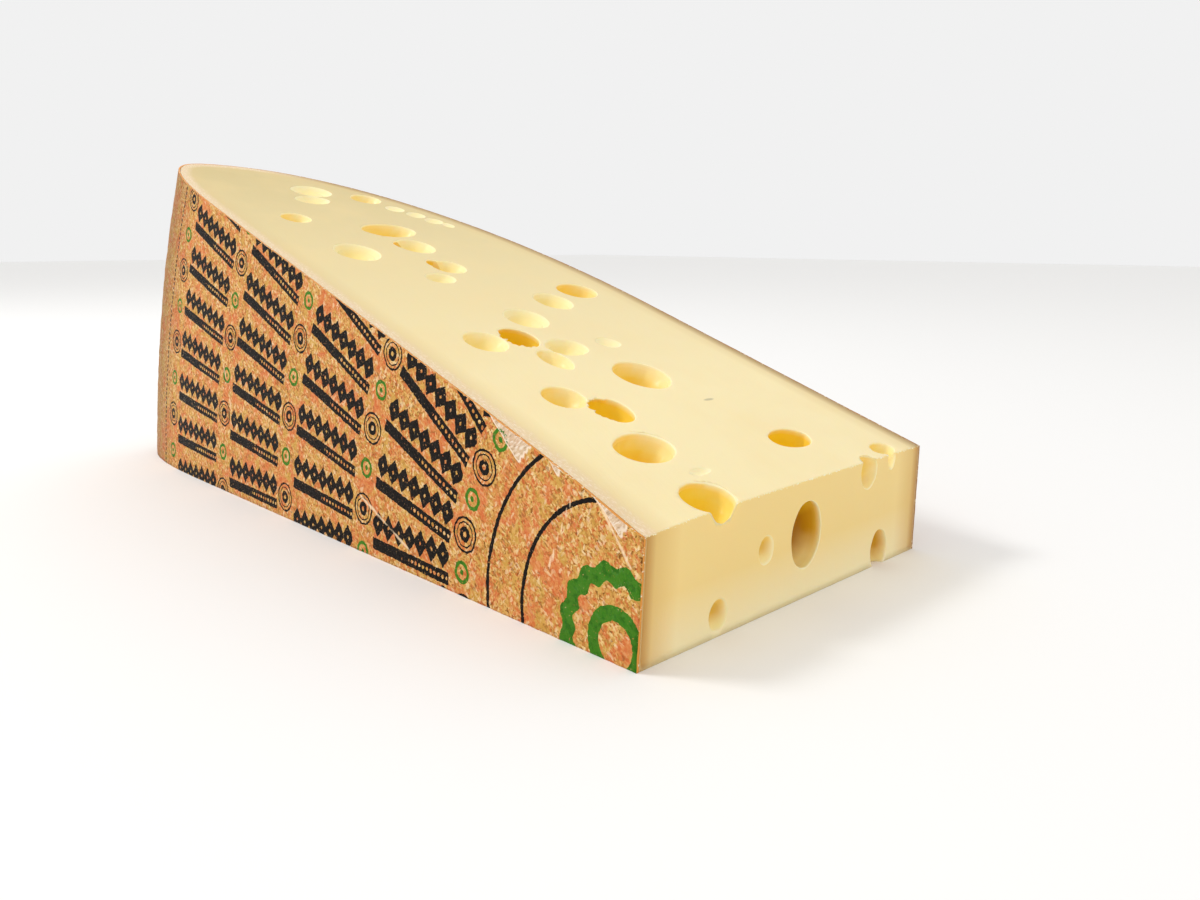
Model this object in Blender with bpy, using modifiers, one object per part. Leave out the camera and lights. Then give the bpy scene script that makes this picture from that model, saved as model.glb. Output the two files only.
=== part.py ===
"""A wedge cut from a large wheel of hard cheese with big round eyes, lying on one cut face.

The wheel's axis runs level along X. Its printed flat face is at the low X side, its plain,
domed flat face at the high X side, and its rim at the far end, high Y. The upper cut face
climbs from the near end to the rim, and the near end is a third, steep cut close to the
wheel's centre. The eyes that the cuts went through stay as round hollows.
"""
import math

import bmesh
import bpy
from mathutils import Matrix, Vector

MM = 0.001

# The whole wheel
WHEEL_RADIUS = 460 * MM
WHEEL_THICKNESS = 191 * MM
WIDEST_FROM_PRINTED_FACE = 37 * MM
PRINTED_FLAT_RADIUS = 340 * MM
PLAIN_FLAT_RADIUS = 184 * MM
PRINTED_SHOULDER_POWER = 3.0
PLAIN_SHOULDER_POWER = 2.0
TURN_STEPS = 96
SHOULDER_STEPS = 8

# The cuts, measured from the wheel's axis
AXIS_ABOVE_BASE = 7 * MM
UPPER_CUT_ABOVE_BASE = 53.7 * MM
UPPER_CUT_SLOPE = math.radians(18.6)
NEAR_CUT_PAST_AXIS = 10.6 * MM
NEAR_CUT_LEAN = math.radians(3.8)

# The upper cut sags towards the printed near corner
CORNER_SAG = 3.2 * MM
SAG_REACH = 35 * MM

# The block between the cuts passes the wheel's skin by this much
BLOCK_MARGIN = 20 * MM
BLOCK_CELLS_ACROSS = 10
BLOCK_CELLS_ALONG = 14
CROWDING = 1.6

EYE_SEGMENTS = 16
EYE_RINGS = 12

# Eyes in the upper cut: across X, along Y, half width, half length along the slope, depth, in mm
UPPER_EYES = [
    (154.9, 181.6, 13.0, 11.4, 12.0),
    (125.1, 169.1, 11.3, 12.1, 6.5),
    (89.0, 149.9, 12.0, 12.9, 5.5),
    (66.8, 129.8, 9.4, 11.4, 17.0),
    (45.9, 128.6, 10.9, 11.8, 7.0),
    (85.1, 115.2, 12.1, 9.8, 5.5),
    (68.3, 104.7, 7.4, 11.4, 6.5),
    (114.2, 115.5, 7.2, 6.3, 2.0),
    (102.1, 81.1, 14.4, 14.7, 12.0),
    (43.7, 72.3, 10.0, 10.5, 9.0),
    (57.4, 57.8, 9.4, 11.5, 14.0),
    (46.5, 28.5, 14.1, 11.4, 12.0),
    (42.8, -6.3, 11.4, 10.2, 12.0),
    (124.3, 13.1, 11.9, 7.8, 14.0),
    (54.9, 7.2, 6.0, 2.5, 1.0),
    (165.0, -8.5, 7.5, 5.0, 6.0),
    (42.8, 307.8, 9.0, 9.4, 7.0),
    (83.2, 364.4, 13.9, 12.7, 4.0),
    (73.7, 345.1, 11.8, 9.3, 3.5),
    (116.5, 350.9, 10.5, 10.4, 7.0),
    (93.7, 286.1, 18.2, 12.8, 11.0),
    (94.2, 257.8, 11.6, 12.8, 6.5),
    (86.4, 260.0, 4.5, 6.5, 10.0),
    (93.4, 223.4, 10.3, 10.6, 6.5),
    (88.0, 228.5, 4.5, 6.5, 10.0),
    (49.2, 248.9, 13.2, 14.4, 6.0),
    (76.3, 207.1, 9.0, 7.8, 4.0),
    (126.4, 330.1, 6.7, 6.7, 1.6),
    (135.1, 318.0, 6.8, 6.6, 2.0),
    (141.2, 305.9, 6.8, 6.4, 2.0),
    (146.9, 298.0, 4.3, 5.3, 1.2),
]

# Eyes in the near cut: across X, height, half width, half height, depth, in mm
NEAR_EYES = [
    (98.8, 26.3, 10.3, 13.6, 14.0),
    (71.3, 26.1, 4.8, 5.8, 3.0),
    (43.4, 8.2, 5.5, 6.2, 3.4),
    (158.2, 7.0, 6.9, 9.0, 7.0),
    (145.5, 44.5, 6.5, 7.8, 6.5),
    (164.7, 47.5, 3.1, 5.2, 4.0),
]


def clear_scene():
    """Remove the objects that Blender starts with."""
    for old in list(bpy.data.objects):
        bpy.data.objects.remove(old, do_unlink=True)


def make_collection(name):
    """Return a new collection under the scene."""
    made = bpy.data.collections.new(name)
    bpy.context.scene.collection.children.link(made)
    return made


def make_object(name, bm, collection, parent):
    """Turn a bmesh into an object in a collection, parented to the wheel's axis."""
    mesh = bpy.data.meshes.new(name)
    bm.to_mesh(mesh)
    bm.free()
    made = bpy.data.objects.new(name, mesh)
    made.parent = parent
    collection.objects.link(made)
    return made


def cheese_material():
    """Cream-yellow cheese with a dull, slightly moist surface."""
    material = bpy.data.materials.new("cheese_paste")
    material.use_nodes = True
    shader = material.node_tree.nodes["Principled BSDF"]
    shader.inputs["Base Color"].default_value = (0.93, 0.78, 0.45, 1.0)
    shader.inputs["Roughness"].default_value = 0.5
    shader.inputs["Metallic"].default_value = 0.0
    return material


def upper_cut_height(x, y):
    """Height of the upper cut face above the base."""
    near_corner = math.hypot(x, y + NEAR_CUT_PAST_AXIS)
    sag = CORNER_SAG * math.exp(-near_corner / SAG_REACH)
    return UPPER_CUT_ABOVE_BASE + math.tan(UPPER_CUT_SLOPE) * y - sag


def near_cut_y(height):
    """Y of the near cut face, which leans outwards as it rises."""
    return -NEAR_CUT_PAST_AXIS - math.tan(NEAR_CUT_LEAN) * height


def near_edge_y(x):
    """Y of the edge where the near cut meets the upper cut."""
    y = -NEAR_CUT_PAST_AXIS
    for _ in range(6):
        y = near_cut_y(upper_cut_height(x, y))
    return y


def shoulder(flat_x, flat_radius, power, steps):
    """Quarter of a superellipse from the edge of a flat face to the wheel's widest ring."""
    points = []
    for step in range(steps + 1):
        angle = math.radians(90) * step / steps
        inwards = math.cos(angle) ** (2 / power)
        outwards = math.sin(angle) ** (2 / power)
        x = WIDEST_FROM_PRINTED_FACE + (flat_x - WIDEST_FROM_PRINTED_FACE) * inwards
        radius = flat_radius + (WHEEL_RADIUS - flat_radius) * outwards
        points.append((x, radius))
    return points


def wheel_section():
    """Half section of the wheel, from the centre of the printed face to that of the plain one."""
    printed_side = shoulder(0.0, PRINTED_FLAT_RADIUS, PRINTED_SHOULDER_POWER, SHOULDER_STEPS)
    plain_side = shoulder(WHEEL_THICKNESS, PLAIN_FLAT_RADIUS, PLAIN_SHOULDER_POWER, 2 * SHOULDER_STEPS)
    return [(0.0, 0.0)] + printed_side + plain_side[-2::-1] + [(WHEEL_THICKNESS, 0.0)]


def make_wheel(collection, parent):
    """The whole wheel, turned about X."""
    bm = bmesh.new()
    ring = [bm.verts.new((x, radius, 0.0)) for x, radius in wheel_section()]
    for start, end in zip(ring, ring[1:]):
        bm.edges.new((start, end))
    wheel = make_object("cheese_wedge", bm, collection, parent)
    wheel.location = (0.0, 0.0, AXIS_ABOVE_BASE)
    turn = wheel.modifiers.new("turn", "SCREW")
    turn.axis = "X"
    turn.steps = TURN_STEPS
    turn.render_steps = TURN_STEPS
    turn.use_merge_vertices = True
    turn.merge_threshold = 0.05 * MM
    turn.use_normal_flip = True
    return wheel


def make_cut_block(collection, parent):
    """The space between the three cuts, with the upper face as a fine sheet that sags."""
    bm = bmesh.new()
    bmesh.ops.create_grid(bm, x_segments=BLOCK_CELLS_ACROSS, y_segments=BLOCK_CELLS_ALONG, size=0.5)
    far_y = WHEEL_RADIUS + BLOCK_MARGIN
    width = WHEEL_THICKNESS + 2 * BLOCK_MARGIN
    for vert in bm.verts:
        across = (vert.co.x + 0.5) ** CROWDING
        along = (vert.co.y + 0.5) ** CROWDING
        x = width * across - BLOCK_MARGIN
        edge_y = near_edge_y(max(x, 0.0))
        y = edge_y + (far_y - edge_y) * along
        vert.co = (x, y, upper_cut_height(max(x, 0.0), y))
    bmesh.ops.triangulate(bm, faces=bm.faces)
    outline = [edge for edge in bm.edges if edge.is_boundary]
    walls = bmesh.ops.extrude_edge_only(bm, edges=outline)
    for item in walls["geom"]:
        if isinstance(item, bmesh.types.BMVert):
            foot_y = near_cut_y(0.0) if item.co.y < near_cut_y(0.0) else item.co.y
            item.co = (item.co.x, foot_y, 0.0)
    floor_outline = [edge for edge in bm.edges if edge.is_boundary]
    bmesh.ops.holes_fill(bm, edges=floor_outline, sides=0)
    bmesh.ops.recalc_face_normals(bm, faces=bm.faces)
    return make_cutter("cut_block", bm, collection, parent)


def make_cutter(name, bm, collection, parent):
    """A shape that only cuts: drawn as wire and left out of renders."""
    cutter = make_object(name, bm, collection, parent)
    cutter.display_type = "WIRE"
    cutter.hide_render = True
    return cutter


def upper_eye_frame(x, y):
    """Axes of an eye in the upper cut: across, along the slope and out of the cheese."""
    across = Vector((1.0, 0.0, 0.0))
    along = Vector((0.0, math.cos(UPPER_CUT_SLOPE), math.sin(UPPER_CUT_SLOPE)))
    return Vector((x, y, upper_cut_height(x, y))), across, along


def near_eye_frame(x, height):
    """Axes of an eye in the near cut: across, up the face and out of the cheese."""
    across = Vector((1.0, 0.0, 0.0))
    up = Vector((0.0, -math.sin(NEAR_CUT_LEAN), math.cos(NEAR_CUT_LEAN)))
    return Vector((x, near_cut_y(height), height)), across, up


def make_eye(name, place, half_sizes, depth, collection, parent):
    """A round bubble that opens at the cut with the given half sizes and reaches the given depth."""
    middle, across, along = place
    outward = across.cross(along)
    mean_half = (half_sizes[0] + half_sizes[1]) / 2
    radius = (mean_half ** 2 + depth ** 2) / (2 * depth)
    centre = middle + outward * (radius - depth)
    stretch = (half_sizes[0] / mean_half, half_sizes[1] / mean_half, 1.0)
    turn = Matrix((across, along, outward)).transposed().to_4x4()
    placement = Matrix.Translation(centre) @ turn @ Matrix.Diagonal((*stretch, 1.0))
    bm = bmesh.new()
    bmesh.ops.create_uvsphere(
        bm, u_segments=EYE_SEGMENTS, v_segments=EYE_RINGS, radius=radius, matrix=placement
    )
    return make_cutter(name, bm, collection, parent)


def make_eyes(collection, parent):
    """All the bubbles that the two cuts opened."""
    for number, (x, y, half_x, half_y, depth) in enumerate(UPPER_EYES):
        place = upper_eye_frame(x * MM, y * MM)
        make_eye(f"upper_eye_{number}", place, (half_x * MM, half_y * MM), depth * MM, collection, parent)
    for number, (x, height, half_x, half_z, depth) in enumerate(NEAR_EYES):
        place = near_eye_frame(x * MM, height * MM)
        make_eye(f"near_eye_{number}", place, (half_x * MM, half_z * MM), depth * MM, collection, parent)


def main():
    clear_scene()
    parts = make_collection("cheese wedge")
    block_cutters = make_collection("cuts")
    eye_cutters = make_collection("eyes")

    wheel_axis = bpy.data.objects.new("wheel_axis_foot", None)
    middle_y = (WHEEL_RADIUS + near_edge_y(WHEEL_THICKNESS)) / 2
    wheel_axis.location = (-WHEEL_THICKNESS / 2, -middle_y, 0.0)
    parts.objects.link(wheel_axis)

    wedge = make_wheel(parts, wheel_axis)
    wedge.data.materials.append(cheese_material())
    block = make_cut_block(block_cutters, wheel_axis)
    make_eyes(eye_cutters, wheel_axis)

    cuts = wedge.modifiers.new("cut from the wheel", "BOOLEAN")
    cuts.operation = "INTERSECT"
    cuts.object = block
    hollows = wedge.modifiers.new("eyes", "BOOLEAN")
    hollows.operation = "DIFFERENCE"
    hollows.operand_type = "COLLECTION"
    hollows.collection = eye_cutters


main()
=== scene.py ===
# %% [markdown]
# A wedge of large-eyed hard cheese, as a dairy's knife leaves it
#
# The real piece was cut from a wheel nearly a metre across. Two long cuts and a short one freed
# it: it lies on one long cut, the other climbs towards the rim, and the short one is the near end.
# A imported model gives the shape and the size, and this lesson gives it its looks: a thin rind that
# wraps the outside, and smooth cream paste inside with the round hollows that cheesemakers call eyes.

import math

import bmesh
import bpy
from mathutils import Matrix, Vector, noise
from mathutils.kdtree import KDTree


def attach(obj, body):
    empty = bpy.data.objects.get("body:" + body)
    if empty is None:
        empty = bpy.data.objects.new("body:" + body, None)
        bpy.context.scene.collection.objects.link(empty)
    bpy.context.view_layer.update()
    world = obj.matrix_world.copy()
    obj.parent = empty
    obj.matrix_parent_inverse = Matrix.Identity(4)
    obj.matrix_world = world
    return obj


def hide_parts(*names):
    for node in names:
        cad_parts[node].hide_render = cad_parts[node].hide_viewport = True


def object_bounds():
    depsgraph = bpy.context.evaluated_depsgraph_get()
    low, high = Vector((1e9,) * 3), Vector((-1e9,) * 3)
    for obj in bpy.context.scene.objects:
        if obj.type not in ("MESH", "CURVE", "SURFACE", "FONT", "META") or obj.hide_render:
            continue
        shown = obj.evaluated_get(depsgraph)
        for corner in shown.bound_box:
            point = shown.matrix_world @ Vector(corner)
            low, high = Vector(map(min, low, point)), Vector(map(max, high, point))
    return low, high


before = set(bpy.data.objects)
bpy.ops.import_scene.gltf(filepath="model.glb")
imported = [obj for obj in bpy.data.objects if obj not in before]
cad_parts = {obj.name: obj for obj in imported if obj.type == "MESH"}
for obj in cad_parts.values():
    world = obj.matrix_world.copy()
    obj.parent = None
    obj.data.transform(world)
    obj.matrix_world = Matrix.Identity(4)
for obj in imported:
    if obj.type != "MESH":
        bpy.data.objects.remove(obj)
cad_low, cad_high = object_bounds()
MM = 0.001
print("packed wedge, mm:", [round((high - low) / MM, 1) for low, high in zip(cad_low, cad_high)])

# %% [markdown]
# Most sizes follow from the whole wheel. Its axis lies along X, a little above the base. Distances
# below are measured from that axis and from the printed flat face, and one shift takes them to the
# frame, whose origin is the middle of the wedge's base.

# %% The wheel and the cuts
WHEEL_RADIUS = 460 * MM
WHEEL_THICKNESS = cad_high[0] - cad_low[0]
WIDEST_FROM_PRINTED_FACE = 37 * MM
PRINTED_FLAT_RADIUS = 340 * MM
PLAIN_FLAT_RADIUS = 184 * MM
PRINTED_SHOULDER_POWER = 3.0
PLAIN_SHOULDER_POWER = 2.0
AXIS_ABOVE_BASE = 7 * MM
UPPER_CUT_ABOVE_BASE = 53.7 * MM
UPPER_CUT_SLOPE = math.radians(18.6)
NEAR_CUT_PAST_AXIS = 10.6 * MM
NEAR_CUT_LEAN = math.radians(3.8)
CORNER_SAG = 3.2 * MM
SAG_REACH = 35 * MM
RIND_THICKNESS = 1.5 * MM
TO_FRAME = Vector((cad_low[0], cad_high[1] - WHEEL_RADIUS, 0.0))


def upper_cut_height(x, y):
    """Height of the upper cut face above the base."""
    near_corner = math.hypot(x, y + NEAR_CUT_PAST_AXIS)
    sag = CORNER_SAG * math.exp(-near_corner / SAG_REACH)
    return UPPER_CUT_ABOVE_BASE + math.tan(UPPER_CUT_SLOPE) * y - sag


def near_cut_y(height):
    """Y of the near cut face, which leans outwards as it rises."""
    return -NEAR_CUT_PAST_AXIS - math.tan(NEAR_CUT_LEAN) * height


print("wheel axis in the frame, mm:", [round(value / MM, 1) for value in TO_FRAME])

# %% [markdown]
# The camera stands where the photographer's did, close to the near corner of the printed side and
# looking almost level. A product photographer keeps upright edges upright by shifting the lens and
# not tilting the camera, so the camera here has the same downward shift.

# %% Camera
PHOTO_WIDTH = 1200
PHOTO_HEIGHT = 900
FOCAL_PIXELS = 965.6
AXIS_PIXEL = (585.8, 259.3)
CAMERA_PLACE = Vector((-234.0, -228.1, 144.9)) * MM
CAMERA_YAW = math.radians(-44.03)
CAMERA_PITCH = math.radians(1.19)
CAMERA_ROLL = math.radians(0.19)

camera_data = bpy.data.cameras.new("photo_camera")
camera_data.sensor_width = 36.0
camera_data.lens = camera_data.sensor_width * FOCAL_PIXELS / PHOTO_WIDTH
camera_data.shift_x = (PHOTO_WIDTH / 2 - AXIS_PIXEL[0]) / PHOTO_WIDTH
camera_data.shift_y = (AXIS_PIXEL[1] - PHOTO_HEIGHT / 2) / PHOTO_WIDTH
camera_data.clip_start = 0.01
camera = bpy.data.objects.new("photo_camera", camera_data)
bpy.context.scene.collection.objects.link(camera)
look = Matrix.Rotation(CAMERA_YAW, 4, "Z") @ Matrix.Rotation(math.radians(90) - CAMERA_PITCH, 4, "X")
camera.matrix_world = (
    Matrix.Translation(CAMERA_PLACE + TO_FRAME) @ look @ Matrix.Rotation(CAMERA_ROLL, 4, "Z")
)
bpy.context.scene.camera = camera
bpy.context.scene.view_settings.view_transform = "Standard"
print("lens, mm:", round(camera_data.lens, 1), "shift:", round(camera_data.shift_y, 3))

# %% [markdown]
# Colours are given as sRGB hex values and turned to the linear values that the renderer works in.
# A second helper adds a shader node with its settings and links in one call, which keeps long
# materials readable.

# %% Helpers for materials


def srgb(code):
    """Linear colour of an sRGB hex code."""
    channels = []
    for start in (1, 3, 5):
        value = int(code[start:start + 2], 16) / 255
        channels.append(value / 12.92 if value <= 0.04045 else ((value + 0.055) / 1.055) ** 2.4)
    return (*channels, 1.0)


def add(tree, kind, links=None, values=None, **settings):
    """Add a node: settings are its properties, values its sockets' numbers, links what feeds them."""
    node = tree.nodes.new(kind)
    for name, setting in settings.items():
        setattr(node, name, setting)
    for socket, value in (values or {}).items():
        node.inputs[socket].default_value = value
    for socket, source in (links or {}).items():
        tree.links.new(source, node.inputs[socket])
    return node


def new_material(name):
    """A material with an empty tree but for its Principled shader and output."""
    material = bpy.data.materials.new(name)
    material.use_nodes = True
    return material, material.node_tree, material.node_tree.nodes["Principled BSDF"]


# %% [markdown]
# The wheel's section is two shoulders that meet at its widest ring: a short, full one on the printed
# side and a long, slack one on the side it lay on in the cellar. Each is a quarter of a superellipse,
# whose power says how full it is: 2 is a plain ellipse. A station on a shoulder is set in along the
# direction that points out of the cheese, so that a skin of any depth can be worked out from it.

# %% Section of the wheel


def shoulder_station(flat_x, flat_radius, power, share, depth):
    """Point of a shoulder, from its flat face at share 0 to the widest ring at 1, set in by a depth."""
    angle = math.radians(90) * share
    half_width = flat_x - WIDEST_FROM_PRINTED_FACE
    half_height = WHEEL_RADIUS - flat_radius
    bend = 2 / power
    out_x = half_height * math.cos(angle) ** (2 - bend) * math.copysign(1, half_width)
    out_r = abs(half_width) * math.sin(angle) ** (2 - bend)
    size = math.hypot(out_x, out_r)
    x = WIDEST_FROM_PRINTED_FACE + half_width * math.cos(angle) ** bend - depth * out_x / size
    radius = flat_radius + half_height * math.sin(angle) ** bend - depth * out_r / size
    return x, radius


def printed_station(share, depth):
    """Point of the printed side's shoulder."""
    return shoulder_station(0.0, PRINTED_FLAT_RADIUS, PRINTED_SHOULDER_POWER, share, depth)


def plain_station(share, depth):
    """Point of the plain side's shoulder."""
    return shoulder_station(WHEEL_THICKNESS, PLAIN_FLAT_RADIUS, PLAIN_SHOULDER_POWER, share, depth)


def half_section(depth, printed_steps, plain_steps):
    """Half section of the wheel set in by a depth, from the middle of one flat face to the other's."""
    printed = [printed_station(step / printed_steps, depth) for step in range(printed_steps + 1)]
    plain = [plain_station(step / plain_steps, depth) for step in range(plain_steps - 1, -1, -1)]
    return [(depth, 0.0)] + printed + plain + [(WHEEL_THICKNESS - depth, 0.0)]


def y_at(radius, height):
    """Y where the wheel's ring of some radius passes a height above the base."""
    return math.sqrt(max(radius ** 2 - (height - AXIS_ABOVE_BASE) ** 2, 0.0))


print("section points:", len(half_section(0.0, 12, 24)))

# %% [markdown]
# The rind is a thin skin that runs from the near cut along the printed face, round the rim and back
# along the plain face. A flat grid is bent into that shape: its long direction follows the section
# and its short direction climbs from the base to the upper cut. Columns are closer together on the
# printed side, where the fibres of the pressing cloth left most relief.

# %% Rind skin
RIND_ROWS = 84
PRINTED_FLAT_SHARE = 0.46
PRINTED_SHOULDER_SHARE = 0.22
PLAIN_SHOULDER_SHARE = 0.22
RIND_COLUMNS = 420
SETTLING_PASSES = 12
PRINTED_SIDE_POINT = (0.2, 0.5)


def skin_point(along, up):
    """Point of the outer skin: along runs 0 to 1 round the section, up runs 0 to 1 from base to cut."""
    height = up * UPPER_CUT_ABOVE_BASE
    shoulder_start = PRINTED_FLAT_SHARE
    rim = shoulder_start + PRINTED_SHOULDER_SHARE
    plain_start = rim + PLAIN_SHOULDER_SHARE
    for _ in range(SETTLING_PASSES):
        if along <= shoulder_start:
            share = along / shoulder_start
            x = 0.0
            near, far = near_cut_y(height), y_at(PRINTED_FLAT_RADIUS, height)
            y = near + (far - near) * share
        elif along <= rim:
            share = (along - shoulder_start) / PRINTED_SHOULDER_SHARE
            x, radius = printed_station(share, 0.0)
            y = y_at(radius, height)
        elif along <= plain_start:
            share = 1 - (along - rim) / PLAIN_SHOULDER_SHARE
            x, radius = plain_station(share, 0.0)
            y = y_at(radius, height)
        else:
            share = (along - plain_start) / (1 - plain_start)
            x = WHEEL_THICKNESS
            far, near = y_at(PLAIN_FLAT_RADIUS, height), near_cut_y(height)
            y = far + (near - far) * share
        height = up * upper_cut_height(x, y)
    return Vector((x, y, height))


def make_skin():
    """The undisturbed skin as an open sheet, with its outward direction kept on each point."""
    bm = bmesh.new()
    bmesh.ops.create_grid(bm, x_segments=RIND_COLUMNS, y_segments=RIND_ROWS, size=0.5)
    for vert in bm.verts:
        vert.co = skin_point(vert.co.x + 0.5, vert.co.y + 0.5)
    bmesh.ops.recalc_face_normals(bm, faces=bm.faces)
    bm.normal_update()
    printed = skin_point(*PRINTED_SIDE_POINT)
    if min(bm.verts, key=lambda vert: (vert.co - printed).length).normal.x > 0:
        bmesh.ops.reverse_faces(bm, faces=bm.faces)
        bm.normal_update()
    outward = bm.verts.layers.float_vector.new("outward")
    for vert in bm.verts:
        vert[outward] = vert.normal
    return bm


skin = make_skin()
print("skin faces:", len(skin.faces))

# %% [markdown]
# Relief comes from what happened to the skin: the fibrous cloth pressed lumps into it, handling left
# creases, and near the cut the knife lifted a few flaps of the printed skin. Each is a small formula
# in real millimetres, and all of them press inwards, so the wheel keeps its size.

# %% Rind relief
MEAN_DEPTH = 0.45 * MM
SHALLOWEST = 0.02 * MM
DEEPEST = 0.9 * RIND_THICKNESS
LUMP_SIZE = 13 * MM
LUMP_DEPTH = 0.15 * MM
LUMP_ROUGHNESS = (0.6, 2.0, 3)
GRAIN_SIZE = 4.2 * MM
GRAIN_DEPTH = 0.22 * MM
CREASE_WIDTH = 1.6 * MM
CREASE_DEPTH = 0.33 * MM
CREASE_WANDER = 0.9 * MM
FLAP_WANDER = 1.08 * MM
WANDER_SIZE = 9 * MM
FLAP_LIP = 1.2 * MM
FLAP_DEPTH = 0.12 * MM
FLAP_LUMP_SIZE = 3.1 * MM
FLAP_LUMP_DEPTH = 0.3 * MM
PRINTED_FACE_REACH = 6 * MM

print("relief allowed, mm:", round(SHALLOWEST / MM, 2), "to", round(DEEPEST / MM, 2))

# %% [markdown]
# Creases and flaps are single marks, so each has its own place on the printed face. A crease is given
# by its two ends, and a flap by its three corners, from which their distances are worked out.

# %% Creases and flaps
# Creases in the printed face, from one end to the other: Y and height, mm
CREASES = [
    ((18, 66), (-8, 34)),
    ((22, 52), (34, 24)),
    ((300, 40), (322, 92)),
    ((120, 8), (165, 26)),
    ((238, 112), (256, 84)),
]

# Flaps that the knife lifted from the printed face: corners as Y and height, mm
FLAPS = [
    ((68, 76.5), (44, 68.5), (51, 61)),
    ((13, 58), (-7, 51), (-3, 44)),
    ((34, 65.5), (26, 63), (29, 60)),
]


def distance_to_line(place, start, end):
    """Distance of a point on the printed face from a straight crease."""
    start = Vector(start) * MM
    run = Vector(end) * MM - start
    share = min(max((place - start).dot(run) / run.length_squared, 0.0), 1.0)
    return (place - start - run * share).length


def inside_flap(place, corners):
    """How far inside a three-cornered flap a point lies; below zero outside it."""
    nearest = 1.0
    for number in range(3):
        start = Vector(corners[number]) * MM
        end = Vector(corners[(number + 1) % 3]) * MM
        third = Vector(corners[(number + 2) % 3]) * MM
        side = Vector((end.y - start.y, start.x - end.x)).normalized()
        if side.dot(third - start) < 0:
            side = -side
        nearest = min(nearest, side.dot(place - start))
    return nearest


print("creases:", len(CREASES), "flaps:", len(FLAPS))

# %% [markdown]
# One function adds it all up for a point of the skin. A crease fades inside a flap, because the
# creased layer has been lifted off there, and what lies under the flap has small lumps of its own.

# %% Depth of the relief


def rind_relief(point):
    """Depth that the skin is pressed in at a point, how creased it is and how much of it is a flap."""
    lumps = noise.fractal(point / LUMP_SIZE, *LUMP_ROUGHNESS)
    grain = noise.noise(point / GRAIN_SIZE + Vector((7.0, 3.0, 1.0)))
    depth = MEAN_DEPTH + LUMP_DEPTH * lumps + GRAIN_DEPTH * grain
    crease = 0.0
    flap = 0.0
    if point.x < PRINTED_FACE_REACH:
        place = Vector((point.y, point.z))
        wander = noise.noise(point / WANDER_SIZE)
        for start, end in CREASES:
            away = abs(distance_to_line(place, start, end) + CREASE_WANDER * wander)
            crease = max(crease, math.exp(-(away / CREASE_WIDTH) ** 2))
        for corners in FLAPS:
            inside = inside_flap(place, corners) + FLAP_WANDER * wander
            flap = max(flap, min(max(inside / FLAP_LIP + 0.5, 0.0), 1.0))
        depth += CREASE_DEPTH * crease * (1 - flap)
        under_flap = FLAP_DEPTH + FLAP_LUMP_DEPTH * abs(noise.noise(point / FLAP_LUMP_SIZE))
        depth = depth * (1 - flap) + under_flap * flap
    return min(max(depth, SHALLOWEST), DEEPEST), crease, flap


print("relief at the wheel's middle, mm:", round(rind_relief(Vector((0.0, 0.0, 0.0)))[0] / MM, 2))

# %% [markdown]
# Solidify gives the skin its thickness, growing inwards from the sheet. Only then is the outer side
# pressed in, so the inner side stays smooth and meets the paste. The relief's own numbers are kept
# on the mesh, because the material tints creases and flaps from them.

# %% Rind piece


def to_object(name, bm, materials):
    """Put a finished bmesh in the frame as an object with its materials."""
    bmesh.ops.translate(bm, verts=bm.verts, vec=TO_FRAME)
    mesh = bpy.data.meshes.new(name)
    bm.to_mesh(mesh)
    bm.free()
    for material in materials:
        mesh.materials.append(material)
    piece = bpy.data.objects.new(name, mesh)
    bpy.context.scene.collection.objects.link(piece)
    return piece


def evaluated_bmesh(piece):
    """The piece with its modifiers applied, as a bmesh, with the piece itself removed."""
    graph = bpy.context.evaluated_depsgraph_get()
    bm = bmesh.new()
    bm.from_mesh(piece.evaluated_get(graph).to_mesh())
    bpy.data.objects.remove(piece, do_unlink=True)
    return bm


def make_rind(sheet, materials):
    """The closed rind, with relief outside and its cut edge in the second material."""
    mesh = bpy.data.meshes.new("rind_sheet")
    sheet.to_mesh(mesh)
    sheet.free()
    piece = bpy.data.objects.new("rind_sheet", mesh)
    bpy.context.scene.collection.objects.link(piece)
    inner = piece.vertex_groups.new(name="inner")
    wall = piece.modifiers.new("thickness", "SOLIDIFY")
    wall.thickness = RIND_THICKNESS
    wall.offset = -1.0
    wall.material_offset_rim = 1
    wall.shell_vertex_group = inner.name
    for material in materials:
        mesh.materials.append(material)
    bm = evaluated_bmesh(piece)
    outward = bm.verts.layers.float_vector["outward"]
    groups = bm.verts.layers.deform.active
    creased = bm.verts.layers.float.new("crease")
    lifted = bm.verts.layers.float.new("flap")
    for vert in bm.verts:
        if inner.index in vert[groups]:
            continue
        depth, crease, flap = rind_relief(vert.co)
        vert.co -= vert[outward] * depth
        vert[creased] = crease
        vert[lifted] = flap
    for face in bm.faces:
        face.smooth = True
    return to_object("rind", bm, materials)


# %% [markdown]
# Both finishes of this part are built up as a painter would: a ground colour, then stains laid over
# it one by one. Each stain has a colour and a value that says where it lies, such as a soft noise,
# the distance from the skin or the depth in a hollow. All such values are kept by name.

# %% Values by name


def to_wheel(tree):
    """Object coordinates in millimetres from the wheel's axis and its printed face."""
    place = add(tree, "ShaderNodeTexCoord").outputs["Object"]
    shift = TO_FRAME + Vector((0.0, 0.0, AXIS_ABOVE_BASE))
    scaled = add(
        tree, "ShaderNodeMapping", {"Vector": place},
        {"Location": -shift / MM, "Scale": (1 / MM, 1 / MM, 1 / MM)},
    )
    return scaled.outputs["Vector"]


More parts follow.
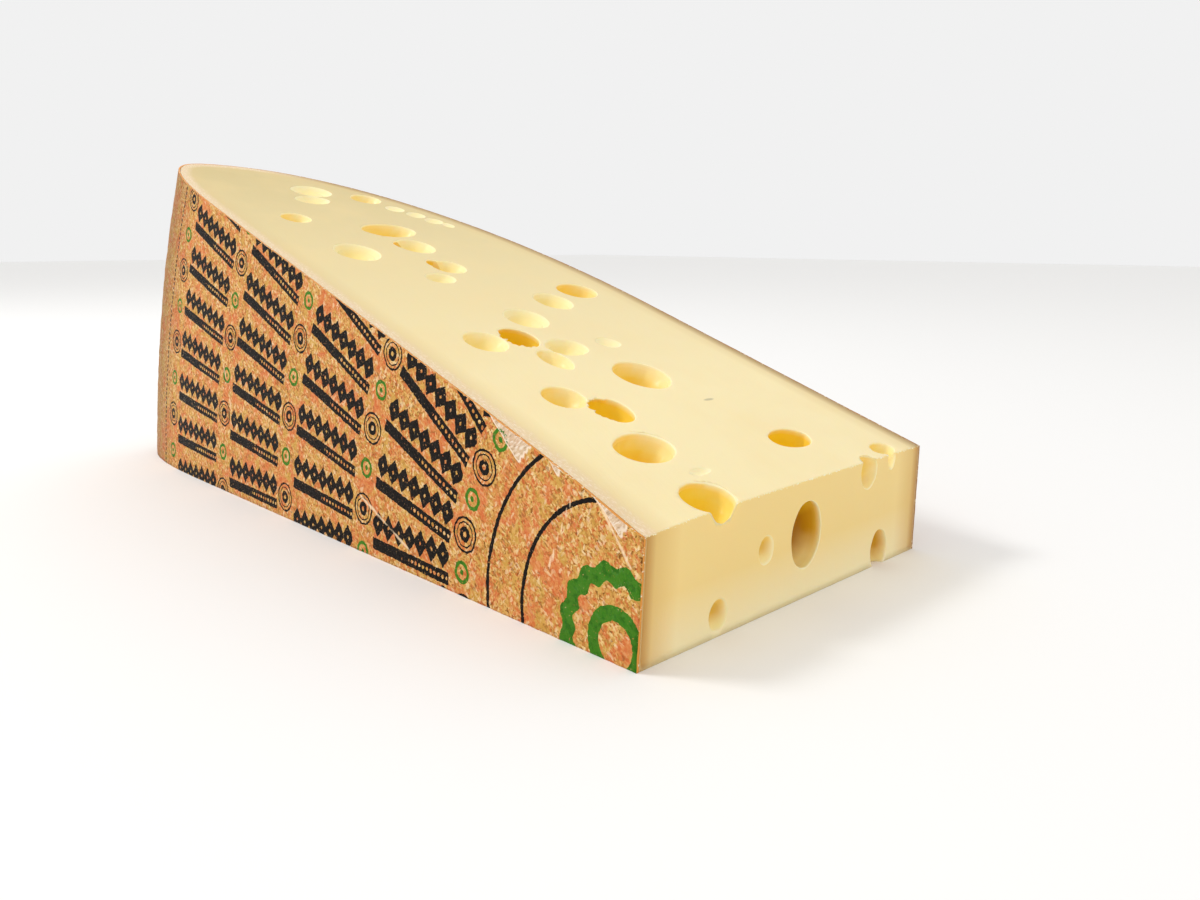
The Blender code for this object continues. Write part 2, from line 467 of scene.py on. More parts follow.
def read_place(tree, place):
    """The values that every finish starts from: x, y, z and the radius about the wheel's axis."""
    parts = add(tree, "ShaderNodeSeparateXYZ", {"Vector": place}).outputs
    flat = add(tree, "ShaderNodeCombineXYZ", {"Y": parts["Y"], "Z": parts["Z"]}).outputs["Vector"]
    radius = add(tree, "ShaderNodeVectorMath", {"Vector": flat}, operation="LENGTH").outputs["Value"]
    return {"x": parts["X"], "y": parts["Y"], "z": parts["Z"], "r": radius}


def add_clouds(tree, known, place, sizes):
    """Soft noises, each with its own cloud size in millimetres."""
    for name, size in sizes.items():
        known[name] = add(
            tree, "ShaderNodeTexNoise", {"Vector": place},
            {"Scale": 1 / size, "Detail": 3.0, "Roughness": 0.6},
        ).outputs["Fac"]


def add_measures(tree, known, names):
    """What was measured on the mesh, read back by name."""
    for name in names:
        known[name] = add(tree, "ShaderNodeAttribute", attribute_name=name).outputs["Fac"]


print("values that every finish starts from: x, y, z, r")

# %% [markdown]
# With values kept by name, a short program of named sums can work on them, as one would on paper, and
# one loop can lay all the stains of a finish. A stain may have masks, which are shares from 0 to 1.

# %% Shares, sums and stains


def add_shares(tree, known, table):
    """Shares from 0 to 1, each from where a value has none of it to where it has all."""
    for name, (value, none_at, full_at) in table.items():
        known[name] = add(
            tree, "ShaderNodeMapRange", {"Value": known[value]}, {"From Min": none_at, "From Max": full_at}
        ).outputs["Result"]


def run_sums(tree, known, *programs):
    """Turn programs of named sums into Math nodes, and keep every result by name."""
    for result, operation, first, second in sum(programs, ()):
        node = add(tree, "ShaderNodeMath", operation=operation)
        for socket, operand in enumerate((first, second)):
            if isinstance(operand, str):
                tree.links.new(known[operand], node.inputs[socket])
            else:
                node.inputs[socket].default_value = operand
        known[result] = node.outputs["Value"]


def lay_stains(tree, known, colour, stains):
    """Lay stains over a colour: value, where it has none and all of it, hex code, strength, masks."""
    for value, none_at, full_at, code, strength, *masks in stains:
        amount = add(
            tree, "ShaderNodeMapRange", {"Value": known[value]},
            {"From Min": none_at, "From Max": full_at, "To Max": strength},
        ).outputs["Result"]
        for mask in masks:
            amount = add(
                tree, "ShaderNodeMath", {0: amount, 1: known[mask]}, operation="MULTIPLY"
            ).outputs["Value"]
        colour = add(
            tree, "ShaderNodeMix", {0: amount, 6: colour}, {7: srgb(code)}, data_type="RGBA"
        ).outputs[2]
    return colour


print("a stain's row: value, none at, full at, colour, strength, masks")

# %% [markdown]
# Rind: dried, pressed casein skin. It looks like a board of pressed chips, because short fibres of the
# cloth and flakes of old skin lie over each other in every direction, each stained a little
# differently. Stretched Voronoi cells, turned several ways, give the chips: each cell has a random
# value, and where cells of several layers meet, the highest value lies on top.

# %% Sizes and colours of the skin
# Sizes in mm: width and length of a chip or flake, and the pitch of dark specks
CHIP_TURNS = (14, 47, 80, 112, 151)
CHIP_SIZE = (0.75, 1.35)
FLAKE_TURNS = (31, 122)
FLAKE_SIZE = (0.9, 2.0)
SPECK_PITCH = 2.8

# Random value of the chip on top, and the colour that it has
SKIN_TONES = (
    (0.44, "#7C4C1C"),
    (0.60, "#A87030"),
    (0.74, "#C28A42"),
    (0.86, "#D09C50"),
    (0.94, "#DCAC60"),
    (1.00, "#ECC98A"),
)

# Value, where the stain has none of it and all of it, colour, strength
SKIN_STAINS = (
    ("reddening", 0.97, 1.16, "#DA7A48", 0.68),
    ("patches", 0.47, 0.36, "#CDA04A", 0.62),
    ("red_chip", 1.18, 1.32, "#CE5E30", 0.60),
    ("flake", 0.94, 0.98, "#F6DDB0", 0.50),
    ("dark_flake", 0.07, 0.03, "#83501F", 0.50),
    ("speck", 0.62, 0.72, "#3E2512", 0.80),
    # Browner by the rim: partly the rind's own darker band, partly painted shade against the lamp's light
    ("r", 385.0, 425.0, "#4A3606", 0.46),
)

SPECK_SUMS = (
    ("speck", "MULTIPLY", "speck_away", 3.0),
    ("speck", "SUBTRACT", "speck_value", "speck"),
    ("red_chip", "ADD", "red_chip", "patches"),
    ("reddening", "ADD", "broad", "patches"),
)
print("chip, mm:", CHIP_SIZE, "flake, mm:", FLAKE_SIZE)

# %% [markdown]
# The chips' random values go through a colour ramp of ochres, and clouds then redden or yellow whole
# areas, because a rind never takes its stain evenly. Flakes, dark specks and a browner rim come last;
# the rim's brown is partly the rind's own and partly painted shade against the lamp's strong light.

# %% Chips of the skin


def top_chip(tree, place, turns, chip_size, number=0):
    """The random value of the chip that lies on top; the number keeps each use's cells apart."""
    width, length = chip_size
    highest = None
    for turn in turns:
        number += 1
        laid = add(
            tree, "ShaderNodeMapping", {"Vector": place},
            {
                "Location": (7.0 * number, 31.0 * number, 17.0 * number),
                "Rotation": (math.radians(turn), 0.0, 0.0),
                "Scale": (2 * width, length, width),
            },
            vector_type="TEXTURE",
        ).outputs["Vector"]
        cells = add(tree, "ShaderNodeTexVoronoi", {"Vector": laid}, {"Scale": 1.0}).outputs["Color"]
        value = add(tree, "ShaderNodeSeparateColor", {"Color": cells}).outputs["Red"]
        if highest is not None:
            value = add(
                tree, "ShaderNodeMath", {0: highest, 1: value}, operation="MAXIMUM"
            ).outputs["Value"]
        highest = value
    return highest


def stained_skin(tree, place, known):
    """Colour of the bare skin: ochre chips, salmon and brown in clouds, pale flakes, dark specks."""
    known["chip"] = top_chip(tree, place, CHIP_TURNS, CHIP_SIZE)
    known["flake"] = top_chip(tree, place, FLAKE_TURNS, FLAKE_SIZE, 10)
    known["dark_flake"] = top_chip(tree, place, FLAKE_TURNS[:1], FLAKE_SIZE, 20)
    known["red_chip"] = top_chip(tree, place, CHIP_TURNS[1:2], CHIP_SIZE, 30)
    specks = add(tree, "ShaderNodeTexVoronoi", {"Vector": place}, {"Scale": 1 / SPECK_PITCH}).outputs
    known["speck_away"] = specks["Distance"]
    known["speck_value"] = add(
        tree, "ShaderNodeSeparateColor", {"Color": specks["Color"]}
    ).outputs["Red"]
    run_sums(tree, known, SPECK_SUMS)
    tones = add(tree, "ShaderNodeValToRGB", {"Fac": known["chip"]})
    ramp = tones.color_ramp
    for position, code in SKIN_TONES[1:-1]:
        ramp.elements.new(position).color = srgb(code)
    for end in (0, -1):
        ramp.elements[end].position = SKIN_TONES[end][0]
        ramp.elements[end].color = srgb(SKIN_TONES[end][1])
    return lay_stains(tree, known, tones.outputs["Color"], SKIN_STAINS)


print("layers of chips:", len(CHIP_TURNS), "tones:", len(SKIN_TONES))

# %% [markdown]
# The print is ink rolled on in rings about the wheel's axis. Rings lie at an even pitch from the
# axis, and each has a certain number of motifs more to the turn than the one inside it, so one
# program of sums draws them all. A motif is a row of lozenges beside a bar with a dotted half, small
# medals and green rings take turns in the gaps, and a rosette marks the middle of the wheel.

# %% Sizes of the print
# Sizes in mm, as radii about the wheel's axis or distances from a motif's middle
RING_START = 78.0
RING_PITCH = 76.0
RING_GAP = 18.0
FIRST_COUNT = 34.0
COUNT_STEP = 18.0
LAST_RADIUS = 400.0
RINGS_WITH_MOTIFS = 3.5
BAR_MIDDLE = -5.6
BAR_HALF = 2.7
BAR_DOT = 0.8
BAR_DOT_PITCH = 2.8
LOZENGE_MIDDLE = 3.9
LOZENGE_HALF = 6.0
LOZENGE_PITCH = 8.3
LOZENGE_TAPER = 0.82
LOZENGE_HOLE = 0.16
MEDAL_RADIUS = 7.0
OUTER_LINE_HALF = 0.5
INNER_LINE_RADIUS = 0.72 * MEDAL_RADIUS
INNER_LINE_HALF = 0.3
DISC_RADIUS = 0.46 * MEDAL_RADIUS
DISC_HOLE_RADIUS = 0.16 * MEDAL_RADIUS
SMALL_RING_RADIUS = 3.9
SMALL_RING_HALF = 0.8
SMALL_DOT_RADIUS = 0.3 * SMALL_RING_RADIUS
ARC_RADII = (70.0, 49.0)
ARC_HALF = 0.9
ROSETTE_RADIUS = 24.0
ROSETTE_HALF = 3.4
ROSETTE_LOBES = 16.0
CORE_RADIUS = 0.45 * ROSETTE_RADIUS
CORE_HALF = 0.8 * ROSETTE_HALF
RIM_LINE = 406.0
RIM_LINE_HALF = 0.8
DASHES_PER_MOTIF = 8.0
DASH_SHARE = 0.6
PRINT_REACH = 30.0
# Motifs that the whole print is turned by, enough to keep every motif's number above zero
TURN_SHIFT = 100.3


def line_sums(name, value, middle, half_width):
    """Sums for a line: 1 where a value is within half a width of its middle, and 0 elsewhere."""
    return (
        (name, "SUBTRACT", value, middle),
        (name, "ABSOLUTE", name, 0.0),
        (name, "LESS_THAN", name, half_width),
    )


print("rings of motifs, mm from the axis:", RING_START, "to", LAST_RADIUS)

# %% [markdown]
# The first program finds a point's place in the pattern: in which ring it lies and how far out in it,
# at which motif of the turn, and how far to the side of that motif's middle. Each ring is turned by
# half a motif against the one inside it, so that motifs don't line up in rows.

# %% Place in the print
POLAR_SUMS = (
    ("angle", "ARCTAN2", "z", "y"),
    ("ring", "SUBTRACT", "r", RING_START),
    ("ring", "DIVIDE", "ring", RING_PITCH),
    ("radial", "FRACT", "ring", 0.0),
    ("radial", "MULTIPLY", "radial", RING_PITCH),
    ("radial", "SUBTRACT", "radial", RING_GAP),
    ("ring", "FLOOR", "ring", 0.0),
    ("count", "MULTIPLY", "ring", COUNT_STEP),
    ("count", "ADD", "count", FIRST_COUNT),
    ("turn", "MULTIPLY", "angle", 1 / (2 * math.pi)),
    ("turn", "MULTIPLY", "turn", "count"),
    ("stagger", "MULTIPLY", "ring", 0.5),
    ("turn", "ADD", "turn", "stagger"),
    ("turn", "ADD", "turn", TURN_SHIFT),
    ("number", "FLOOR", "turn", 0.0),
    ("even", "MODULO", "number", 2.0),
    ("across", "FRACT", "turn", 0.0),
    ("across", "SUBTRACT", "across", 0.5),
    ("around", "MULTIPLY", "r", 2 * math.pi),
    ("around", "DIVIDE", "around", "count"),
    ("across", "MULTIPLY", "across", "around"),
    ("outside_start", "GREATER_THAN", "r", RING_START),
    ("inside_end", "LESS_THAN", "r", LAST_RADIUS),
    ("in_rings", "MULTIPLY", "outside_start", "inside_end"),
)
print("sums that find the place:", len(POLAR_SUMS))

# %% [markdown]
# The next two draw what a ring holds. A bar and a row of lozenges run outwards side by side, and the
# gap that starts each ring holds a black medal or a small green ring by turns.

# %% Motifs and medals
MOTIF_SUMS = (
    ("bar_away", "SUBTRACT", "across", BAR_MIDDLE),
    ("bar_away", "ABSOLUTE", "bar_away", 0.0),
    ("bar", "LESS_THAN", "bar_away", BAR_HALF),
    ("dot_along", "DIVIDE", "radial", BAR_DOT_PITCH),
    ("dot_along", "FRACT", "dot_along", 0.0),
    ("dot_along", "SUBTRACT", "dot_along", 0.5),
    ("dot_along", "MULTIPLY", "dot_along", BAR_DOT_PITCH),
    ("dot_along", "MULTIPLY", "dot_along", "dot_along"),
    ("dot_across", "MULTIPLY", "bar_away", "bar_away"),
    ("dot", "ADD", "dot_along", "dot_across"),
    ("dot", "GREATER_THAN", "dot", BAR_DOT ** 2),
    ("dot_half", "GREATER_THAN", "radial", (RING_PITCH - RING_GAP) / 2),
    ("dot", "MAXIMUM", "dot", "dot_half"),
    ("bar", "MULTIPLY", "bar", "dot"),
    ("step", "DIVIDE", "radial", LOZENGE_PITCH),
    ("step", "FRACT", "step", 0.0),
    ("step", "SUBTRACT", "step", 0.5),
    ("step", "ABSOLUTE", "step", 0.0),
    ("step", "MULTIPLY", "step", 2 * LOZENGE_TAPER),
    ("row_away", "SUBTRACT", "across", LOZENGE_MIDDLE),
    ("row_away", "ABSOLUTE", "row_away", 0.0),
    ("row_away", "DIVIDE", "row_away", LOZENGE_HALF),
    ("row_away", "ADD", "row_away", "step"),
    ("lozenge", "LESS_THAN", "row_away", 1.0),
    ("hole", "GREATER_THAN", "row_away", LOZENGE_HOLE),
    ("lozenge", "MULTIPLY", "lozenge", "hole"),
    ("motif", "MAXIMUM", "bar", "lozenge"),
    ("past_gap", "GREATER_THAN", "radial", 0.0),
    ("motif", "MULTIPLY", "motif", "past_gap"),
    ("last_ring", "LESS_THAN", "ring", RINGS_WITH_MOTIFS),
    ("motif", "MULTIPLY", "motif", "last_ring"),
)

MEDAL_SUMS = (
    ("medal_up", "ADD", "radial", RING_GAP / 2),
    ("medal_up", "MULTIPLY", "medal_up", "medal_up"),
    ("medal_across", "MULTIPLY", "across", "across"),
    ("medal", "ADD", "medal_up", "medal_across"),
    ("medal", "SQRT", "medal", 0.0),
    *line_sums("outer_line", "medal", MEDAL_RADIUS, OUTER_LINE_HALF),
    *line_sums("inner_line", "medal", INNER_LINE_RADIUS, INNER_LINE_HALF),
    ("disc", "LESS_THAN", "medal", DISC_RADIUS),
    ("disc_hole", "GREATER_THAN", "medal", DISC_HOLE_RADIUS),
    ("disc", "MULTIPLY", "disc", "disc_hole"),
    ("medal_black", "MAXIMUM", "outer_line", "inner_line"),
    ("medal_black", "MAXIMUM", "medal_black", "disc"),
    ("medal_black", "MULTIPLY", "medal_black", "even"),
    ("odd", "SUBTRACT", 1.0, "even"),
    *line_sums("small_ring", "medal", SMALL_RING_RADIUS, SMALL_RING_HALF),
    ("small_dot", "LESS_THAN", "medal", SMALL_DOT_RADIUS),
    ("small_ring", "MAXIMUM", "small_ring", "small_dot"),
    ("small_ring", "MULTIPLY", "small_ring", "odd"),
)
print("sums that draw a ring:", len(MOTIF_SUMS + MEDAL_SUMS))

# %% [markdown]
# The last two draw two thin arcs and a scalloped rosette about the wheel's middle and a dashed line by
# the rim. They also gather the black and the green ink and keep both off the rim and off worn spots.

# %% Middle, rim and inks
CENTRE_SUMS = (
    *line_sums("arc_0", "r", ARC_RADII[0], ARC_HALF),
    *line_sums("arc_1", "r", ARC_RADII[1], ARC_HALF),
    ("arcs", "MAXIMUM", "arc_0", "arc_1"),
    ("lobes", "MULTIPLY", "angle", ROSETTE_LOBES),
    ("lobes", "COSINE", "lobes", 0.0),
    ("lobes", "ADD", "r", "lobes"),
    *line_sums("rosette", "lobes", ROSETTE_RADIUS, ROSETTE_HALF),
    *line_sums("core", "r", CORE_RADIUS, CORE_HALF),
    ("rosette", "MAXIMUM", "rosette", "core"),
)

INK_SUMS = (
    ("black", "MAXIMUM", "motif", "medal_black"),
    ("black", "MULTIPLY", "black", "in_rings"),
    ("black", "MAXIMUM", "black", "arcs"),
    *line_sums("rim_line", "r", RIM_LINE, RIM_LINE_HALF),
    ("dash", "MULTIPLY", "turn", DASHES_PER_MOTIF),
    ("dash", "FRACT", "dash", 0.0),
    ("dash", "LESS_THAN", "dash", DASH_SHARE),
    ("rim_line", "MULTIPLY", "rim_line", "dash"),
    ("black", "MAXIMUM", "black", "rim_line"),
    ("green", "MULTIPLY", "small_ring", "in_rings"),
    ("green", "MAXIMUM", "green", "rosette"),
    ("printed_side", "LESS_THAN", "x", PRINT_REACH),
    ("inked", "MULTIPLY", "printed_side", "unworn"),
    ("black", "MULTIPLY", "black", "inked"),
    ("green", "MULTIPLY", "green", "inked"),
)

PRINT_SUMS = POLAR_SUMS + MOTIF_SUMS + MEDAL_SUMS + CENTRE_SUMS + INK_SUMS
print("sums in the print:", len(PRINT_SUMS))

# %% [markdown]
# The finished rind lays the ink over the stained skin, thinly enough that some fibres stay bare. A
# lifted flap shows the clean, pale underside of the skin, with scraps of ink left on it and a bright
# torn edge, and creases are pale too. Chips and grain go into a bump, since they are far finer than
# the mesh. Skin this dry has hardly any sheen, so its specular level is very low. A small wander of
# the coordinates makes the ink's edges as rough as the fibres that it was rolled over.

# %% Wear, flaps and ink of the rind
RIND_CLOUDS = {"broad": 24.0, "patches": 7.0, "grain": 1.1, "blotches": 3.0}
WANDER_PITCH = 1.8
INK_WANDER = 1.2
STREAK_TURN = math.radians(-35)
STREAK_SIZE = (1.2, 3.5, 1.0)
RIND_BUMP = 0.35 * MM
DULL_FIBRES = 0.72
RUBBED_FIBRES = 0.34
DRY_SPECULAR = 0.08
WEAR_SUMS = (
    ("wear", "MULTIPLY", "flap", 0.2),
    ("wear", "ADD", "wear", "grain"),
    ("torn", "SUBTRACT", "flap", 0.45),
    ("torn", "ABSOLUTE", "torn", 0.0),
    ("bump_height", "ADD", "chip", "grain"),
)
FLAP_STAINS = (
    ("flap", 0.30, 0.70, "#DCC0A0", 0.85),
    ("streak", 0.50, 0.62, "#F6E8D6", 0.75, "flap"),
    ("streak", 0.44, 0.36, "#9C7C60", 0.60, "flap"),
)
INK_STAINS = (
    ("black", 0.0, 1.0, "#15100C", 1.0),
    ("green", 0.0, 1.0, "#2A7A16", 0.95),
    ("blotches", 0.50, 0.62, "#1C5A0C", 0.60, "green"),
    ("crease", 0.78, 0.98, "#FADDB6", 0.80),
    ("torn", 0.30, 0.12, "#FDEBD4", 0.75),
)
print("stains over the skin:", len(FLAP_STAINS + INK_STAINS))

# %% [markdown]
# The material wanders the coordinates, stains the skin, runs the print and lays the flaps and the ink.
# The grain also drives the roughness, from dull fibres to the smoother ones that were rubbed.

# %% Rind material


def rind_material():
    """Dried casein rind with pressed chips, printed with plain rings of motifs."""
    material, tree, shader = new_material("pressed casein rind, printed")
    exact = to_wheel(tree)
    wander = add(
        tree, "ShaderNodeTexNoise", {"Vector": exact}, {"Scale": 1 / WANDER_PITCH, "Detail": 2.0}
    ).outputs["Color"]
    place = add(
        tree, "ShaderNodeVectorMath", {0: wander, 2: exact}, {1: (INK_WANDER,) * 3}, operation="MULTIPLY_ADD"
    ).outputs["Vector"]
    known = read_place(tree, place)
    add_clouds(tree, known, place, RIND_CLOUDS)
    add_measures(tree, known, ("crease", "flap"))
    streaks = add(
        tree, "ShaderNodeMapping", {"Vector": exact},
        {"Rotation": (STREAK_TURN, 0.0, 0.0), "Scale": STREAK_SIZE}, vector_type="TEXTURE",
    ).outputs["Vector"]
    add_clouds(tree, known, streaks, {"streak": 1.0})
    colour = stained_skin(tree, place, known)
    run_sums(tree, known, WEAR_SUMS)
    add_shares(tree, known, {"unworn": ("wear", 0.70, 0.65)})
    run_sums(tree, known, PRINT_SUMS)
    colour = lay_stains(tree, known, colour, FLAP_STAINS + INK_STAINS)
    tree.links.new(colour, shader.inputs["Base Color"])
    rough = add(
        tree, "ShaderNodeMapRange", {"Value": known["grain"]},
        {"From Min": 0.35, "From Max": 0.65, "To Min": DULL_FIBRES, "To Max": RUBBED_FIBRES},
    ).outputs["Result"]
    tree.links.new(rough, shader.inputs["Roughness"])
    shader.inputs["Specular IOR Level"].default_value = DRY_SPECULAR
    bump = add(
        tree, "ShaderNodeBump", {"Height": known["bump_height"]}, {"Strength": 0.45, "Distance": RIND_BUMP}
    ).outputs["Normal"]
    tree.links.new(bump, shader.inputs["Normal"])
    return material


print("print ends, mm from the printed face:", PRINT_REACH)

# %% [markdown]
# Where the knife went through, the rind shows as a thin line. On the printed side its stain has soaked
# in and looks orange, and towards the plain side it is a duller tan. Pale crumbs of paste cling to it.

# %% Cut edge of the rind, and the rind itself
EDGE_GROUND = "#E2922A"
EDGE_STAINS = (
    ("x", 20.0, 120.0, "#AC7A40", 1.0),
    ("crumbs", 0.59, 0.65, "#FDEFD2", 0.9),
)


def rind_edge_material():
    """The cut edge of the rind, orange from its stain on the printed side, with pale crumbs."""
    material, tree, shader = new_material("pressed casein rind, cut edge")
    place = to_wheel(tree)
    known = read_place(tree, place)
    add_clouds(tree, known, place, {"crumbs": 1.3})
    stain = add(tree, "ShaderNodeRGB")
    stain.outputs[0].default_value = srgb(EDGE_GROUND)
    colour = lay_stains(tree, known, stain.outputs[0], EDGE_STAINS)
    tree.links.new(colour, shader.inputs["Base Color"])
    shader.inputs["Roughness"].default_value = 0.5
    return material


rind = make_rind(skin, [rind_material(), rind_edge_material()])
print("rind triangles:", sum(len(face.vertices) - 2 for face in rind.data.polygons))

# %% [markdown]
# The paste fills the skin. It starts as the same wheel, spun about its axis and set in by the rind,
# and a block shaped by the three cuts keeps the part between them. A long knife never goes quite
# straight, so the upper cut has shallow waves, which die out towards the near edge.

# %% Cuts of the paste
PASTE_GAP = 0.1 * MM
PASTE_SECTION_STEPS = (14, 40)
TURN_STEPS = 180
WHEEL_MERGE = 0.02 * MM
BLOCK_MARGIN = 20 * MM
CUT_CELLS_ACROSS = 110
CUT_CELLS_ALONG = 230
CELL_CROWDING = 1.15
CUT_ROWS = 14
KNIFE_DRAG = 0.10 * MM
KNIFE_WAVE = (55 * MM, 21 * MM)
DRAG_FADE = 12 * MM
EDGE_PASSES = 6
EDGE_SOFTNESS = 0.6 * MM
EDGE_SLACK = 0.01 * MM


def near_edge_y(x):
    """Y of the edge where the near cut meets the upper cut."""
    y = -NEAR_CUT_PAST_AXIS
    for _ in range(EDGE_PASSES):
        y = near_cut_y(upper_cut_height(x, y))
    return y


def knifed_height(x, y):
    """Height of the upper cut with the shallow, long waves of a knife, which fade at the near edge."""
    wave = abs(noise.noise(Vector((x / KNIFE_WAVE[0], y / KNIFE_WAVE[1], 3.7))))
    fade = min(max((y - near_edge_y(x)) / DRAG_FADE, 0.0), 1.0)
    return upper_cut_height(x, y) - KNIFE_DRAG * wave * fade


print("knife waves, mm deep:", KNIFE_DRAG / MM)

# %% [markdown]
# The wheel is the half section spun about X. The block starts as a fine sheet in the upper cut, whose
# edges are extruded down row by row, so that each eye opens into small faces that shade smoothly. Its
# cells crowd a little towards the near edge, where the camera is closest, and that edge is bevelled
# because a soft paste has no sharp ones.

# %% Wheel and block


def paste_wheel():
    """The whole wheel inside its rind, turned about X."""
    bm = bmesh.new()
    section = half_section(RIND_THICKNESS + PASTE_GAP, *PASTE_SECTION_STEPS)
    ring = [bm.verts.new((x, radius, 0.0)) for x, radius in section]
    edges = [bm.edges.new(pair) for pair in zip(ring, ring[1:])]
    bmesh.ops.spin(
        bm, geom=ring + edges, cent=(0, 0, 0), axis=(1, 0, 0), angle=math.radians(360),
        steps=TURN_STEPS, use_merge=True,
    )
    bmesh.ops.remove_doubles(bm, verts=bm.verts, dist=WHEEL_MERGE)
    bmesh.ops.recalc_face_normals(bm, faces=bm.faces)
    bmesh.ops.translate(bm, verts=bm.verts, vec=(0.0, 0.0, AXIS_ABOVE_BASE))
    return bm


def cut_block():
    """The space between the cuts, with a knife-marked upper face and a softened near edge."""
    bm = bmesh.new()
    bmesh.ops.create_grid(bm, x_segments=CUT_CELLS_ACROSS, y_segments=CUT_CELLS_ALONG, size=0.5)
    far_y = WHEEL_RADIUS + BLOCK_MARGIN
    for vert in bm.verts:
        x = (WHEEL_THICKNESS + 2 * BLOCK_MARGIN) * (vert.co.x + 0.5) - BLOCK_MARGIN
        edge_y = near_edge_y(max(x, 0.0))
        y = edge_y + (far_y - edge_y) * (vert.co.y + 0.5) ** CELL_CROWDING
        vert.co = (x, y, knifed_height(max(x, 0.0), y))
    near_side = near_cut_y(0.0)
    near_edge = [
        edge for edge in bm.edges
        if edge.is_boundary and max(vert.co.y for vert in edge.verts) < near_side
    ]
    for rows_left in range(CUT_ROWS, 0, -1):
        lower = bmesh.ops.extrude_edge_only(bm, edges=[edge for edge in bm.edges if edge.is_boundary])
        for vert in lower["geom"]:
            if isinstance(vert, bmesh.types.BMVert):
                vert.co.z *= (rows_left - 1) / rows_left
                if vert.co.y < near_side + EDGE_SLACK:
                    vert.co.y = near_cut_y(vert.co.z)
    bmesh.ops.holes_fill(bm, edges=[edge for edge in bm.edges if edge.is_boundary], sides=0)
    bmesh.ops.bevel(
        bm, geom=near_edge, offset=EDGE_SOFTNESS, offset_type="OFFSET", affect="EDGES",
        segments=3, profile=0.5, material=-1,
    )
    bmesh.ops.recalc_face_normals(bm, faces=bm.faces)
    return bm


print("cut cells, mm:", round((WHEEL_RADIUS + BLOCK_MARGIN) / CUT_CELLS_ALONG / MM, 1))

# %% [markdown]
# An eye is a gas bubble, so its wall is part of a sphere, and a cut leaves it with a lip that is
# slightly rounded because the paste is soft. One outline describes both: an arc of the bubble, then
# a small arc the other way for the lip, then a flare that leaves the cut at a low angle. Spun about
# the eye's own axis it makes a cutter, which is then squeezed to the eye's real width and length and
# roughened a little, since no two bubbles are alike.

# %% Sizes of an eye
LIP_RADIUS = 0.55 * MM
SHALLOW_LIP_SHARE = 0.35
FLARE_ANGLE = math.radians(12)
FLARE_HEIGHT = 0.12 * MM
EYE_TURN_STEPS = 72
BOWL_STEPS = 14
LIP_STEPS = 4
EYE_MERGE = 0.01 * MM
UNEVENNESS = 0.035
UNEVEN_LOBES = 1.3
DIMPLE_DEPTH = 0.035
DIMPLE_SIZE = 5 * MM
NICK_DEPTH = 0.34
NICK_REACH = 1.6 * MM
NICK_HEIGHT = 2 * MM
NICK_LOBES = 5
NICK_SHARE = 0.15
TORN_SIDE_SHARE = 0.4
print("cutter faces, about:", EYE_TURN_STEPS * (BOWL_STEPS + LIP_STEPS + 3))

# %% [markdown]
# Each row below is one eye, as someone with a ruler would note it down: where its middle lies in the
# cut, how far it reaches to the side and along the cut, how deep it is, and how ragged its lip is.
# Ragged lips belong to eyes that nearly touch, where the thin wall between them has torn.

# %% Places of the eyes
# Eyes in the upper cut: across X, along Y, half width, half length, depth in mm, and raggedness
UPPER_EYES = [
    (154.9, 181.6, 13.0, 11.4, 12.0, 0.0),
    (125.1, 169.1, 11.3, 12.1, 6.5, 0.0),
    (89.0, 149.9, 12.0, 12.9, 5.5, 0.0),
    (66.8, 129.8, 9.4, 11.4, 17.0, 1.0),
    (45.9, 128.6, 10.9, 11.8, 7.0, 0.0),
    (85.1, 115.2, 12.1, 9.8, 5.5, 0.2),
    (68.3, 104.7, 7.4, 11.4, 6.5, 0.2),
    (114.2, 115.5, 7.2, 6.3, 2.0, 0.3),
    (102.1, 81.1, 14.4, 14.7, 12.0, 0.0),
    (43.7, 72.3, 10.0, 10.5, 9.0, 0.1),
    (57.4, 57.8, 9.4, 11.5, 14.0, 0.8),
    (46.5, 28.5, 14.1, 11.4, 12.0, 0.0),
    (42.8, -6.3, 11.4, 10.2, 12.0, 0.2),
    (124.3, 13.1, 11.9, 7.8, 14.0, 0.0),
    (54.9, 7.2, 6.0, 2.5, 1.0, 1.0),
    (165.0, -8.5, 7.5, 5.0, 6.0, 0.2),
    (42.8, 307.8, 9.0, 9.4, 7.0, 0.0),
    (83.2, 364.4, 13.9, 12.7, 4.0, 0.2),
    (73.7, 345.1, 11.8, 9.3, 3.5, 0.2),
    (116.5, 350.9, 10.5, 10.4, 7.0, 0.1),
    (93.7, 286.1, 18.2, 12.8, 11.0, 0.1),
    (94.2, 257.8, 11.6, 12.8, 6.5, 0.2),
    (86.4, 260.0, 4.5, 6.5, 10.0, 0.0),
    (93.4, 223.4, 10.3, 10.6, 6.5, 0.2),
    (88.0, 228.5, 4.5, 6.5, 10.0, 0.0),
    (49.2, 248.9, 13.2, 14.4, 6.0, 0.0),
    (76.3, 207.1, 9.0, 7.8, 4.0, 0.1),
    (126.4, 330.1, 6.7, 6.7, 1.6, 0.4),
    (135.1, 318.0, 6.8, 6.6, 2.0, 0.4),
    (141.2, 305.9, 6.8, 6.4, 2.0, 0.4),
    (146.9, 298.0, 4.3, 5.3, 1.2, 0.4),
]

# Eyes in the near cut: across X, height, half width, half height, depth in mm, and raggedness
NEAR_EYES = [
    (98.8, 26.3, 10.3, 13.6, 14.0, 0.0),
    (71.3, 26.1, 4.8, 5.8, 3.0, 0.0),
    (43.4, 8.2, 5.5, 6.2, 3.4, 0.0),
    (158.2, 7.0, 6.9, 9.0, 7.0, 0.1),
    (145.5, 44.5, 6.5, 7.8, 6.5, 0.2),
    (164.7, 47.5, 3.1, 5.2, 4.0, 0.2),
]
print("eyes to open:", len(UPPER_EYES) + len(NEAR_EYES))

